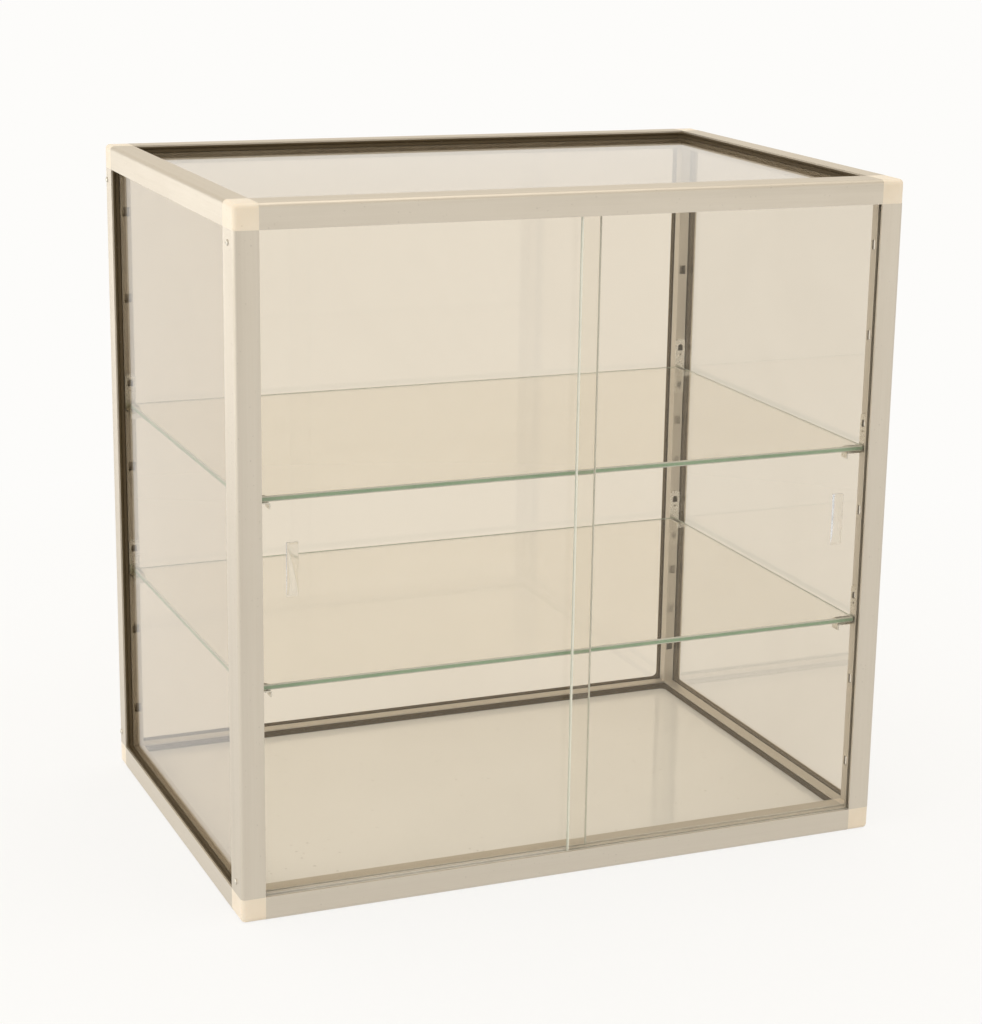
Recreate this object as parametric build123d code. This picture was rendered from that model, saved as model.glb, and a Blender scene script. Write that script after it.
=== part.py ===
from build123d import *
import os

# Countertop display case: an aluminium frame of hollow profiles joined by plastic corner blocks,
# fixed glass in rubber gaskets on four sides, a panel for a base and two glass doors that slide
# in front of two glass shelves. All sizes are in millimetres.
# X runs to the right, Y from front to back and Z up. The origin is on the counter, under the middle.

# Overall size
case_width = 600.0
case_depth = 410.0
case_height = 600.0

# Profiles: the visible face, the depth of the front ones, their walls and rounded long edges
face = 21.0
front_depth = 29.0
wall = 1.5
front_wall = 2.0
edge_radius = 3.5
inner_edge_radius = 0.6

# Fixed panes: each groove holds a lip, a gasket and a pane, from the outside inwards
lip = 1.5
gasket_thickness = 5.5
gasket_proud = 0.4
gasket_corner_radius = 6.0
gasket_edge_chamfer = 1.2
pane_thickness = 4.0
groove_depth = 7.0
pane_edge_gap = 1.0
base_thickness = 4.0
base_gasket_thickness = 6.0

# Sliding doors: two grooves with a rib between them, lined with plastic runners
door_thickness = 4.0
door_groove = 6.0
door_rib = 2.0
door_side_gap = 0.2
runner_floor = 1.0
outer_groove_depth = 9.0
inner_groove_depth = 6.0
top_groove_depth = 18.5
post_groove_depth = 11.0
door_top_engagement = 8.0
door_post_engagement = 8.0
door_stop_gap = 1.0
door_rest_gap = 0.3
door_overlap = 21.0
door_edge_radius = 0.8
right_door_edge = -3.0

# Slotted wall of the front posts, and the space behind it for the bracket hooks
slotted_wall_inset = 14.0
hook_space = 1.5
hook_space_depth = 12.0

# Slots for the shelf brackets
slot_count = 7
slot_pitch = 80.0
slot_width = 6.5
slot_height = 8.5
front_slot_from_rear = 5.5

# Shelves
shelf_thickness = 5.0
shelf_inside_bracket = 1.5
shelf_end_gap = 0.5
shelf_edge_radius = 0.8
lower_shelf_slot_count = 2
upper_shelf_slot_count = 4
shelf_below_slot = 19.0

# Folded sheet brackets
bracket_sheet = 1.2
bracket_width = 10.0
bracket_top_above_slot = 9.0
bracket_top_chamfer = 2.0
bracket_tab_length = 18.0
bracket_lip_drop = 4.5
bracket_bend_radius = 0.8
bracket_hole_radius = 1.2
bracket_hole_below_slot = 7.0
hook_width = 5.2
hook_drop = 3.6
hook_rest_gap = 0.1
hook_side_gap = 0.1
punch_height = 6.4
punch_chamfer = 1.6
cutter_margin = 1.0

# Corner blocks and the screws that hold their spigots
spigot_length = 20.0
spigot_gap = 0.2
block_edge_radius = 4.0
screw_setback = 16.0
screw_beyond_block = 11.0
screw_hole_radius = 1.4
screw_shank_radius = 1.3
screw_head_radius = 2.6
screw_head_height = 1.3
screw_length = 6.0
screw_head_taper = 0.6
screw_recess_width = 0.7
screw_recess_length = 2.8
screw_recess_depth = 0.7

# Clear pulls stuck on the doors
pull_width = 10.0
pull_height = 46.0
pull_thickness = 2.8
pull_edge_radius = 0.6
pull_from_edge = 28.0

# Places that follow from the sizes above
half_width = case_width / 2
half_depth = case_depth / 2
front_plane = -half_depth
pane_outer = lip + gasket_thickness
pane_inner = pane_outer + pane_thickness
groove_floor = face - groove_depth
front_groove_floor = front_depth - groove_depth
base_lip_bottom = face - lip
base_top = base_lip_bottom - base_gasket_thickness
base_bottom = base_top - base_thickness
outer_track = front_wall
inner_track = outer_track + door_groove + door_rib
inner_track_end = inner_track + door_groove
door_play = (door_groove - door_thickness) / 2
runner_wall = door_play - door_side_gap
block_screw_height = face + screw_beyond_block
first_slot = (case_height - (slot_count - 1) * slot_pitch) / 2
slot_heights = [first_slot + slot_pitch * i for i in range(slot_count)]
inner_face = half_width - slotted_wall_inset
front_slot_y = front_plane + front_depth - front_slot_from_rear
rear_post_face = half_depth - face


def polygon(*points):
    """a flat face from corner points on the XY plane"""
    return make_face(Polyline(*points, close=True))


def box(x0, x1, y0, y1, z0, z1):
    """a block given by its two ends on each axis"""
    centre = ((x0 + x1) / 2, (y0 + y1) / 2, (z0 + z1) / 2)
    return Pos(*centre) * Box(x1 - x0, y1 - y0, z1 - z0)


def rect(u0, u1, v0, v1):
    """a flat rectangle given by its two ends on each axis"""
    return Pos((u0 + u1) / 2, (v0 + v1) / 2) * Rectangle(u1 - u0, v1 - v0)


def rounded_corners(section, places, radius):
    """the section with the corners at the given places rounded"""
    picked = [v for v in section.vertices()
              if any(abs(v.X - u) + abs(v.Y - w) < 0.01 for u, w in places)]
    return fillet(picked, radius)


def pane_section():
    """profile with an outward recess for a pane on two sides: the outer corner is at 0, 0"""
    web = groove_floor - wall
    outline = rounded_corners(rect(0, face, 0, face), [(0, 0)], edge_radius)
    outline = rounded_corners(outline, [(face, face)], inner_edge_radius)
    section = outline - rect(lip, pane_inner, groove_floor, face)
    section -= rect(groove_floor, face, lip, pane_inner)
    section -= polygon((wall, wall), (web, wall), (web, pane_inner), (pane_inner, pane_inner),
                       (pane_inner, web), (wall, web))
    box_start = pane_inner + wall
    section -= rect(box_start, face - wall, box_start, face - wall)
    return section


def base_section():
    """bottom profile: a pane stands in its top groove and the base lies under its inner lip"""
    web = groove_floor - wall
    outline = rounded_corners(rect(0, face, 0, face), [(0, 0)], edge_radius)
    section = outline - rect(lip, pane_inner, groove_floor, face)
    section -= rect(groove_floor, face, base_bottom, base_lip_bottom)
    section -= polygon((wall, wall), (face - wall, wall), (face - wall, base_bottom - wall),
                       (web, base_bottom - wall), (web, web), (wall, web))
    return section


def front_post_section():
    """front post seen from above: 0, 0 is its outer front corner, the second axis runs back"""
    rib_back = inner_track
    rear_chamber_end = front_groove_floor - wall
    hook_start = front_depth - hook_space_depth
    hook_wall = slotted_wall_inset - wall
    outline = polygon((0, 0), (face, 0), (face, rib_back), (slotted_wall_inset, rib_back),
                      (slotted_wall_inset, front_depth), (0, front_depth))
    outline = rounded_corners(outline, [(0, 0)], edge_radius)
    section = outline - rect(face - post_groove_depth, face, outer_track, outer_track + door_groove)
    section -= rect(wall, face - post_groove_depth - wall, front_wall, rib_back - door_rib)
    section -= polygon((wall, rib_back), (hook_wall, rib_back), (hook_wall, hook_start - wall),
                       (pane_inner - wall, hook_start - wall), (pane_inner - wall, rear_chamber_end),
                       (wall, rear_chamber_end))
    section -= rect(lip, pane_inner, front_groove_floor, front_depth)
    section -= rect(pane_inner, pane_inner + hook_space, hook_start, front_depth)
    return section


def bottom_front_section():
    """bottom front rail from its end: 0, 0 is the front bottom edge, the second axis is up"""
    outer_floor = face - outer_groove_depth
    inner_floor = face - inner_groove_depth
    chamber_end = front_groove_floor - wall
    outline = rounded_corners(rect(0, front_depth, 0, face), [(0, 0)], edge_radius)
    section = outline - rect(outer_track, outer_track + door_groove, outer_floor, face)
    section -= rect(inner_track, inner_track_end, inner_floor, face)
    section -= rect(front_groove_floor, front_depth, base_bottom, base_lip_bottom)
    section -= polygon((front_wall, wall), (front_depth - wall, wall),
                       (front_depth - wall, base_bottom - wall), (chamber_end, base_bottom - wall),
                       (chamber_end, outer_floor - wall), (front_wall, outer_floor - wall))
    section -= rect(inner_track_end + wall, chamber_end, outer_floor, base_lip_bottom)
    return section


def top_front_section():
    """top front rail from its end: 0, 0 is the front top edge, the second axis is down"""
    chamber_start = inner_track_end + wall
    chamber_end = front_groove_floor - wall
    outline = rounded_corners(rect(0, front_depth, 0, face), [(0, 0)], edge_radius)
    section = outline - rect(outer_track, outer_track + door_groove, face - top_groove_depth, face)
    section -= rect(inner_track, inner_track_end, face - top_groove_depth, face)
    section -= rect(front_groove_floor, front_depth, lip, pane_inner)
    section -= polygon((chamber_start, wall), (chamber_end, wall), (chamber_end, pane_inner + wall),
                       (front_depth - wall, pane_inner + wall), (front_depth - wall, face - wall),
                       (chamber_start, face - wall))
    return section


def profile(section, middle, inwards, onwards, length):
    """a straight profile: its section's axes point inwards and onwards from the outer edge"""
    run = Vector(*inwards).cross(Vector(*onwards))
    return Plane(middle, x_dir=inwards, z_dir=run) * extrude(section, length / 2, both=True)


def upright(section, side, from_front):
    """a post between the corner blocks on one side, at the front or the back"""
    middle = (side * half_width, front_plane if from_front else half_depth, case_height / 2)
    return profile(section, middle, (-side, 0, 0), (0, 1 if from_front else -1, 0), case_height - 2 * face)


def across(section, from_front, from_top):
    """a rail along X, at the front or the back, at the top or the bottom"""
    middle = (0, front_plane if from_front else half_depth, case_height if from_top else 0)
    inwards = (0, 1 if from_front else -1, 0)
    return profile(section, middle, inwards, (0, 0, -1 if from_top else 1), case_width - 2 * face)


def sideways(section, side, from_top):
    """a rail along Y, on one side, at the top or the bottom"""
    middle = (side * half_width, side_middle(), case_height if from_top else 0)
    length, height = side_opening()
    return profile(section, middle, (-side, 0, 0), (0, 0, -1 if from_top else 1), length)


def shelf_slots_front(side):
    """cutters for the slots in the inward wall of a front post"""
    y0 = front_slot_y - slot_width / 2
    x0 = side * (inner_face - cutter_margin)
    x1 = side * (inner_face + wall + hook_space / 2)
    return [box(min(x0, x1), max(x0, x1), y0, y0 + slot_width, z - slot_height / 2, z + slot_height / 2)
            for z in slot_heights]


def shelf_slots_rear(side):
    """cutters for the slots in the forward face of a rear post"""
    middle = side * (half_width - (pane_inner + face) / 2)
    x0 = middle - slot_width / 2
    return [box(x0, x0 + slot_width, rear_post_face - cutter_margin, rear_post_face + wall + cutter_margin,
                z - slot_height / 2, z + slot_height / 2)
            for z in slot_heights]


def screw_heights():
    """how high the corner screws sit"""
    return (block_screw_height, case_height - block_screw_height)


def screw_places():
    """where each corner screw enters a side face: side, setback along Y and height"""
    rows = (front_plane + screw_setback, half_depth - (wall + pane_inner) / 2)
    return [(side, y, z) for side in (-1, 1) for y in rows for z in screw_heights()]


def screw_bores(radius, reach):
    """cutters along X for all the corner screws"""
    bore = Rot(0, 90, 0) * Cylinder(radius, 2 * reach)
    return [Pos(side * half_width, y, z) * bore for side, y, z in screw_places()]


def front_post(side):
    """front post with its shelf slots and screw holes"""
    post = upright(front_post_section(), side, True)
    for cutter in shelf_slots_front(side) + screw_bores(screw_hole_radius, wall + cutter_margin):
        post -= cutter
    return post


def rear_post(side):
    """rear post with its shelf slots and screw holes"""
    post = upright(pane_section(), side, False)
    for cutter in shelf_slots_rear(side) + screw_bores(screw_hole_radius, wall + cutter_margin):
        post -= cutter
    return post


def spigots(depth, from_top):
    """the three legs of a corner block, in its own axes: u inwards, v along the depth, w from the edge"""
    gap = spigot_gap
    end = pane_inner - gap
    start = wall + gap
    far_u = face + spigot_length
    far_v = depth + spigot_length
    root = face - cutter_margin
    chamber_end = front_groove_floor - wall
    if depth == front_depth:
        up = box(start, pane_inner - wall - gap, inner_track + gap, chamber_end - gap, root, far_u)
    else:
        up = box(start, end, start, end, root, far_u)
    reach = end if from_top else groove_floor - wall - gap
    back = box(start, reach, depth - cutter_margin, far_v, start, reach)
    if depth == front_depth and from_top:
        inwards = box(root, far_u, inner_track_end + wall + gap, front_depth - wall - gap,
                      pane_inner + wall + gap, face - wall - gap)
    elif depth == front_depth:
        inwards = box(root, far_u, front_wall + gap, chamber_end - gap,
                      start, face - outer_groove_depth - wall - gap)
    else:
        inwards = box(root, far_u, start, reach, start, reach)
    return [up, back, inwards]


def corner_block(side, from_front, from_top):
    """plastic corner: a rounded block, open where panes and doors run through, with three spigots"""
    depth = front_depth if from_front else face
    far = face + cutter_margin
    far_back = depth + cutter_margin
    pane_start = depth - groove_depth
    block = box(0, face, 0, depth, 0, face)
    outer = [e for e in block.edges() if sum(abs(c) < 0.01 for c in e.center()) >= 2]
    block = fillet(outer, block_edge_radius)
    # the upright pane at the side, the one at the back and the top or base panel
    pocket_end = pane_inner + hook_space if from_front else pane_inner
    block -= box(lip, pocket_end, pane_start, far_back, groove_floor, far)
    if not from_front:
        block -= box(groove_floor, far, lip, pane_inner, groove_floor, far)
    low, high = (lip, pane_inner) if from_top else (base_bottom, base_lip_bottom)
    block -= box(groove_floor, far, pane_start, far_back, low, high)
    if from_front:
        outer_floor = face - (top_groove_depth if from_top else outer_groove_depth)
        inner_floor = face - (top_groove_depth if from_top else inner_groove_depth)
        block -= box(face - post_groove_depth, far, outer_track, outer_track + door_groove, outer_floor, far)
        block -= box(slotted_wall_inset, far, inner_track, inner_track_end, inner_floor, far)
    for leg in spigots(depth, from_top):
        block += leg
    if side > 0:
        block = mirror(block, Plane.YZ)
    if not from_front:
        block = mirror(block, Plane.XZ)
    if from_top:
        block = mirror(block, Plane.XY)
    corner = Pos(side * half_width, front_plane if from_front else half_depth, case_height if from_top else 0)
    block = corner * block
    for cutter in screw_bores(screw_shank_radius, screw_length):
        block -= cutter
    return block


def screw(side, y, z):
    """pan head screw with a cross recess, driven inwards along X"""
    head = Cone(screw_head_radius, screw_head_radius - screw_head_taper, screw_head_height)
    shank = Cylinder(screw_shank_radius, screw_length)
    body = Pos(0, 0, screw_head_height / 2) * head + Pos(0, 0, -screw_length / 2) * shank
    for turn in (0, 90):
        slot = Box(screw_recess_length, screw_recess_width, screw_recess_depth * 2)
        body -= Rot(0, 0, turn) * Pos(0, 0, screw_head_height) * slot
    return Pos(side * half_width, y, z) * Rot(0, 90 * side, 0) * body


def corner_screws():
    """all the corner screws, as separate solids"""
    return Compound(children=[screw(*place) for place in screw_places()])


def gasket(width, height, thickness, corner):
    """rubber frame on the XY plane with its outer face up: its inner edge is rounded"""
    grip = groove_depth
    ring = Pos(0, 0, thickness / 2) * Box(width + 2 * grip, height + 2 * grip, thickness)
    opening = extrude(RectangleRounded(width - 2 * gasket_proud, height - 2 * gasket_proud, corner), thickness)
    ring -= opening
    top = ring.faces().sort_by(Axis.Z)[-1]
    return chamfer(top.inner_wires()[0].edges(), gasket_edge_chamfer)


def side_opening():
    """length and height of the glazed opening at the sides"""
    return case_depth - face - front_depth, case_height - 2 * face


def side_middle():
    """middle of the side openings along Y"""
    return (front_plane + front_depth + rear_post_face) / 2


def side_gasket(side):
    """gasket of a side pane, between the lips and the pane"""
    length, height = side_opening()
    ring = gasket(length, height, gasket_thickness, gasket_corner_radius)
    place = Plane((side * (half_width - pane_outer), side_middle(), case_height / 2),
                  x_dir=(0, side, 0), z_dir=(side, 0, 0))
    return place * ring


def rear_gasket():
    """gasket of the rear pane"""
    ring = gasket(case_width - 2 * face, case_height - 2 * face, gasket_thickness, gasket_corner_radius)
    place = Plane((0, half_depth - pane_outer, case_height / 2), x_dir=(-1, 0, 0), z_dir=(0, 1, 0))
    return place * ring


def top_gasket():
    """gasket of the top pane"""
    length, height = side_opening()
    ring = gasket(case_width - 2 * face, length, gasket_thickness, gasket_corner_radius)
    return Pos(0, side_middle(), case_height - pane_outer) * ring


def base_gasket():
    """gasket on the base panel, under the inner lips of the bottom profiles"""
    length, height = side_opening()
    ring = gasket(case_width - 2 * face, length, base_gasket_thickness, gasket_corner_radius)
    return Pos(0, side_middle(), base_top) * ring


def side_glass(side):
    """fixed side pane"""
    length, height = side_opening()
    grip = groove_depth - pane_edge_gap
    x = side * (half_width - pane_outer - pane_thickness / 2)
    return Pos(x, side_middle(), case_height / 2) * Box(pane_thickness, length + 2 * grip, height + 2 * grip)


def rear_glass():
    """fixed rear pane"""
    grip = groove_depth - pane_edge_gap
    size = (case_width - 2 * face + 2 * grip, pane_thickness, case_height - 2 * face + 2 * grip)
    return Pos(0, half_depth - pane_outer - pane_thickness / 2, case_height / 2) * Box(*size)


def level_panel(z0, thickness):
    """a level panel held in the grooves on all four sides"""
    length, height = side_opening()
    grip = groove_depth - pane_edge_gap
    panel = Box(case_width - 2 * face + 2 * grip, length + 2 * grip, thickness)
    return Pos(0, side_middle(), z0 + thickness / 2) * panel


def runner(track, reach, floor, rim, upside_down):
    """plastic channel that lines one door groove, from its floor to the groove's mouth"""
    height = rim - floor
    channel = rect(0, door_groove, 0, height) - rect(runner_wall, door_groove - runner_wall, runner_floor, height)
    body = extrude(channel, 2 * reach, dir=(0, 0, 1))
    body = Plane((0, 0, 0), x_dir=(0, 1, 0), z_dir=(1, 0, 0)) * body
    if upside_down:
        body = Pos(0, 0, height) * mirror(body, Plane.XY)
        floor = case_height - rim
    return Pos(-reach, front_plane + track, floor) * body


def outer_reach():
    """half the length of the outer door groove, into the posts"""
    return half_width - face + post_groove_depth - spigot_gap


def inner_reach():
    """half the length of the inner door groove, to the slotted walls"""
    return inner_face - spigot_gap


def door_heights(groove):
    """bottom and top of a door that stands in a bottom groove of this depth"""
    low = face - groove + runner_floor + door_rest_gap
    return low, case_height - face + door_top_engagement


def door(x0, x1, track, groove):
    """glass door with ground edges"""
    low, high = door_heights(groove)
    y0 = front_plane + track + door_play
    pane = box(x0, x1, y0, y0 + door_thickness, low, high)
    return fillet(pane.edges().filter_by(Axis.Z), door_edge_radius)


def right_door_glass():
    """outer door: its right edge stands in the groove of the right post"""
    closed_edge = half_width - face + door_post_engagement
    return door(right_door_edge, closed_edge, outer_track, outer_groove_depth)


def left_door_glass():
    """inner door: its left edge stands behind the rib of the left post"""
    return door(-inner_face + door_stop_gap, right_door_edge + door_overlap, inner_track, inner_groove_depth)


def door_pull(side, track):
    """clear finger pull stuck on a door's front face at half height"""
    x = side * (half_width - face - pull_from_edge)
    y = front_plane + track + door_play - pull_thickness / 2
    pull = Pos(x, y, case_height / 2) * Box(pull_width, pull_thickness, pull_height)
    front = pull.faces().sort_by(Axis.Y)[0]
    return fillet(front.edges(), pull_edge_radius)


def shelf_top(slot):
    """top of the shelf whose brackets hang in this slot"""
    return slot_heights[slot] - shelf_below_slot


def shelf(slot):
    """glass shelf: it clears the bracket plates at its ends and back"""
    x = inner_face - bracket_sheet - shelf_end_gap
    y0 = front_slot_y - bracket_width / 2 + shelf_inside_bracket
    y1 = rear_post_face - bracket_sheet - shelf_end_gap
    top = shelf_top(slot)
    glass = box(-x, x, y0, y1, top - shelf_thickness, top)
    front = glass.edges().filter_by(Axis.X).group_by(Axis.Y)[0]
    return fillet(front, shelf_edge_radius)


def bracket(slot):
    """folded bracket in its own axes: the post face is Y 0, the shelf lies towards -Y, Z as in the case"""
    middle = slot_heights[slot]
    under = shelf_top(slot) - shelf_thickness
    top = middle + bracket_top_above_slot
    low = under - bracket_sheet
    t = bracket_sheet
    tab = bracket_tab_length
    # side view of the folded strip: plate, tab under the shelf and its turned down lip
    strip = polygon((0, top), (0, low), (-tab, low), (-tab, low - bracket_lip_drop),
                    (-tab - t, low - bracket_lip_drop), (-tab - t, under), (-t, under), (-t, top))
    strip = rounded_corners(strip, [(0, low), (-tab - t, under)], bracket_bend_radius + t)
    strip = rounded_corners(strip, [(-tab, low)], bracket_bend_radius)
    body = extrude(strip, bracket_width, dir=(0, 0, 1))
    body = Plane((-bracket_width / 2, 0, 0), x_dir=(0, 1, 0), z_dir=(1, 0, 0)) * body
    plate_top = [e for e in body.edges().filter_by(Axis.Y) if abs(e.center().Z - top) < 0.01]
    body = chamfer(plate_top, bracket_top_chamfer)
    # the hook is punched out of the plate and folded back into the slot, then down behind the wall
    hook_low = middle - slot_height / 2 + hook_rest_gap
    window_top = hook_low + t + punch_height
    window = box(-hook_width / 2, hook_width / 2, -2 * t, t, hook_low + t, window_top)
    window = chamfer(window.edges().filter_by(Axis.Y).group_by(Axis.Z)[-1], punch_chamfer)
    body -= window
    behind = wall + hook_side_gap
    hook = polygon((-t / 2, hook_low), (-t / 2, hook_low + t), (behind + t, hook_low + t),
                   (behind + t, hook_low - hook_drop), (behind, hook_low - hook_drop), (behind, hook_low))
    hook = chamfer([v for v in hook.vertices() if v.X + v.Y > behind + t + hook_low], t / 2)
    hook = extrude(hook, hook_width, dir=(0, 0, 1))
    body += Plane((-hook_width / 2, 0, 0), x_dir=(0, 1, 0), z_dir=(1, 0, 0)) * hook
    hole = Rot(90, 0, 0) * Cylinder(bracket_hole_radius, 4 * t)
    return body - Pos(0, 0, middle - bracket_hole_below_slot) * hole


def rear_bracket(slot, side):
    """bracket on the forward face of a rear post"""
    x = side * (half_width - (pane_inner + face) / 2)
    return Pos(x, rear_post_face, 0) * bracket(slot)


def front_bracket(slot, side):
    """bracket on the inward wall of a front post"""
    return Pos(side * inner_face, front_slot_y, 0) * Rot(0, 0, -90 * side) * bracket(slot)


def save(solid, name):
    """writes one piece under its name"""
    solid.label = name
    export_step(solid, f"parts/{name}.step")


def pieces():
    """every piece of the case by name"""
    made = {}
    for side, hand in ((-1, "left"), (1, "right")):
        made[f"front_{hand}_post"] = front_post(side)
        made[f"rear_{hand}_post"] = rear_post(side)
        made[f"top_{hand}_rail"] = sideways(pane_section(), side, True)
        made[f"bottom_{hand}_rail"] = sideways(base_section(), side, False)
        made[f"{hand}_gasket"] = side_gasket(side)
        made[f"{hand}_glass"] = side_glass(side)
        for from_front, end in ((True, "front"), (False, "rear")):
            for from_top, level in ((True, "top"), (False, "bottom")):
                made[f"{level}_{end}_{hand}_corner"] = corner_block(side, from_front, from_top)
        for slot, shelf_name in ((upper_shelf_slot_count, "upper"), (lower_shelf_slot_count, "lower")):
            made[f"{shelf_name}_front_{hand}_bracket"] = front_bracket(slot, side)
            made[f"{shelf_name}_rear_{hand}_bracket"] = rear_bracket(slot, side)
    made["top_front_rail"] = across(top_front_section(), True, True)
    made["bottom_front_rail"] = across(bottom_front_section(), True, False)
    made["top_rear_rail"] = across(pane_section(), False, True)
    made["bottom_rear_rail"] = across(base_section(), False, False)
    made["rear_gasket"] = rear_gasket()
    made["top_gasket"] = top_gasket()
    made["base_gasket"] = base_gasket()
    made["rear_glass"] = rear_glass()
    made["top_glass"] = level_panel(case_height - pane_inner, pane_thickness)
    made["base_panel"] = level_panel(base_bottom, base_thickness)
    outer_floor = face - outer_groove_depth
    inner_floor = face - inner_groove_depth
    top_floor = face - top_groove_depth
    made["bottom_outer_runner"] = runner(outer_track, outer_reach(), outer_floor, face, False)
    made["bottom_inner_runner"] = runner(inner_track, inner_reach(), inner_floor, face, False)
    made["top_outer_runner"] = runner(outer_track, outer_reach(), top_floor, face, True)
    made["top_inner_runner"] = runner(inner_track, inner_reach(), top_floor, face, True)
    made["left_door_glass"] = left_door_glass()
    made["right_door_glass"] = right_door_glass()
    made["left_door_pull"] = door_pull(-1, inner_track)
    made["right_door_pull"] = door_pull(1, outer_track)
    made["upper_shelf_glass"] = shelf(upper_shelf_slot_count)
    made["lower_shelf_glass"] = shelf(lower_shelf_slot_count)
    made["corner_screws"] = corner_screws()
    return made


os.makedirs("parts", exist_ok=True)
for name, solid in pieces().items():
    save(solid, name)
    print(name, round(solid.volume))
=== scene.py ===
import math

import bmesh
import bpy
import numpy as np
from mathutils import Matrix, Vector


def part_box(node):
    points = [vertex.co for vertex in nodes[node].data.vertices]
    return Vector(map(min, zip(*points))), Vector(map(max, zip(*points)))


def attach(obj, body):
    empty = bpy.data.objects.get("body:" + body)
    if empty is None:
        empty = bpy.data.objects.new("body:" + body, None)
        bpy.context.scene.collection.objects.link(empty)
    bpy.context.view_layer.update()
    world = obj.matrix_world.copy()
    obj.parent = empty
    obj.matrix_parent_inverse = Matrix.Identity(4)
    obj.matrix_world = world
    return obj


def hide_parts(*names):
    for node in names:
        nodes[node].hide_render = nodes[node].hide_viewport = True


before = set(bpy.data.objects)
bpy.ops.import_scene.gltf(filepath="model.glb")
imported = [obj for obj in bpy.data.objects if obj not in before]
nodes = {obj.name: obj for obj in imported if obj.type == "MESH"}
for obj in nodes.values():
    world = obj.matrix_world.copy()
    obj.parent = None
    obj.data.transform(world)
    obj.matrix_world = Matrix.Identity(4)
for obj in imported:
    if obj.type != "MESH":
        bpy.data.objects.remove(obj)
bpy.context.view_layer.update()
print("frame loaded:", len(nodes), "nodes")


# helpers for node trees; texture scales are per metre

noiseSpan = (0.3, 0.7)                        # between these lie nearly all values of a noise
colourA, colourB, mixedColour = 6, 7, 2       # where a mix node keeps its colours


def feed(tree, value, socket):
    # a socket takes a link or a plain value
    if isinstance(value, bpy.types.NodeSocket):
        tree.links.new(value, socket)
    else:
        socket.default_value = value


def newMaterial(name):
    mat = bpy.data.materials.new(name)
    mat.use_nodes = True
    tree = mat.node_tree
    tree.nodes.clear()
    out = tree.nodes.new("ShaderNodeOutputMaterial")
    shader = tree.nodes.new("ShaderNodeBsdfPrincipled")
    tree.links.new(shader.outputs["BSDF"], out.inputs["Surface"])
    return mat, tree, shader, out


def newGroup(name, inputs, outputs):
    # inputs: each name with its usual value; every group also takes a vector
    tree = bpy.data.node_groups.new(name, "ShaderNodeTree")
    tree.interface.new_socket("Vector", in_out="INPUT", socket_type="NodeSocketVector")
    for label, usual in inputs.items():
        socket = tree.interface.new_socket(label, in_out="INPUT", socket_type="NodeSocketFloat")
        socket.default_value = usual
    for label in outputs:
        tree.interface.new_socket(label, in_out="OUTPUT", socket_type="NodeSocketFloat")
    return tree, tree.nodes.new("NodeGroupInput"), tree.nodes.new("NodeGroupOutput")


def addNode(tree, kind, settings=None, inputs=None):
    node = tree.nodes.new(kind)
    for key, value in (settings or {}).items():
        setattr(node, key, value)
    for key, value in (inputs or {}).items():
        feed(tree, value, node.inputs[key])
    return node


def placeGroup(tree, group, vector, values=None):
    return addNode(tree, "ShaderNodeGroup", {"node_tree": group}, {"Vector": vector, **(values or {})})


def objectCoords(tree):
    return tree.nodes.new("ShaderNodeTexCoord").outputs["Object"]


def mathNode(tree, operation, a, b, clamp=False):
    node = addNode(tree, "ShaderNodeMath", {"operation": operation, "use_clamp": clamp}, {0: a, 1: b})
    return node.outputs[0]


def mixColour(tree, share, a, b):
    node = addNode(tree, "ShaderNodeMix", {"data_type": "RGBA"}, {0: share, colourA: a, colourB: b})
    return node.outputs[mixedColour]


def rangeNode(tree, value, low, high, outLow=0.0, outHigh=1.0):
    node = addNode(tree, "ShaderNodeMapRange", {"clamp": True}, {
        "Value": value, "From Min": low, "From Max": high, "To Min": outLow, "To Max": outHigh})
    return node.outputs["Result"]


def noiseNode(tree, vector, scale, detail=2.0, roughness=0.5, distortion=0.0):
    node = addNode(tree, "ShaderNodeTexNoise", None, {
        "Vector": vector, "Scale": scale, "Detail": detail, "Roughness": roughness,
        "Distortion": distortion})
    return node.outputs["Fac"]


def cellNode(tree, vector, scale):
    # each cell's distance field, and three random shares from 0 to 1
    cells = addNode(tree, "ShaderNodeTexVoronoi", {"feature": "F1"}, {"Vector": vector, "Scale": scale})
    shares = addNode(tree, "ShaderNodeSeparateColor", None, {"Color": cells.outputs["Color"]})
    return cells.outputs["Distance"], shares.outputs


def addBump(tree, shader, height, strength, depth):
    bump = addNode(tree, "ShaderNodeBump", None, {
        "Strength": strength, "Distance": depth, "Height": height})
    tree.links.new(bump.outputs["Normal"], shader.inputs["Normal"])


# shared effects

grainShape = {
    "lineScale": 900.0,
    "lineDetail": 3.0,
    "lineRoughness": 0.6,
    "blotchScale": 40.0,
    "blotchDetail": 4.0,
}


def buildGrainGroup():
    # long fine die lines of an extrusion, plus faint blotches of the anodised skin
    look = grainShape
    tree, gin, gout = newGroup("extrusionGrain", {"Blotch Scale": look["blotchScale"]}, ["Lines", "Blotches"])
    vector = gin.outputs["Vector"]
    lines = noiseNode(tree, vector, look["lineScale"], look["lineDetail"], look["lineRoughness"])
    blotches = noiseNode(tree, vector, gin.outputs["Blotch Scale"], look["blotchDetail"])
    tree.links.new(lines, gout.inputs["Lines"])
    tree.links.new(blotches, gout.inputs["Blotches"])
    return tree


handling = {
    "speckScale": 420.0,
    "speckPower": 9.0,        # a high power leaves a large speck in few cells only
    "speckSize": 0.28,
    "smearScale": 7.0,
    "smearDetail": 6.0,
    "smearRoughness": 0.62,
    "smearSwirl": 0.8,
    "smearSpan": (0.42, 0.75),
}


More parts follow.
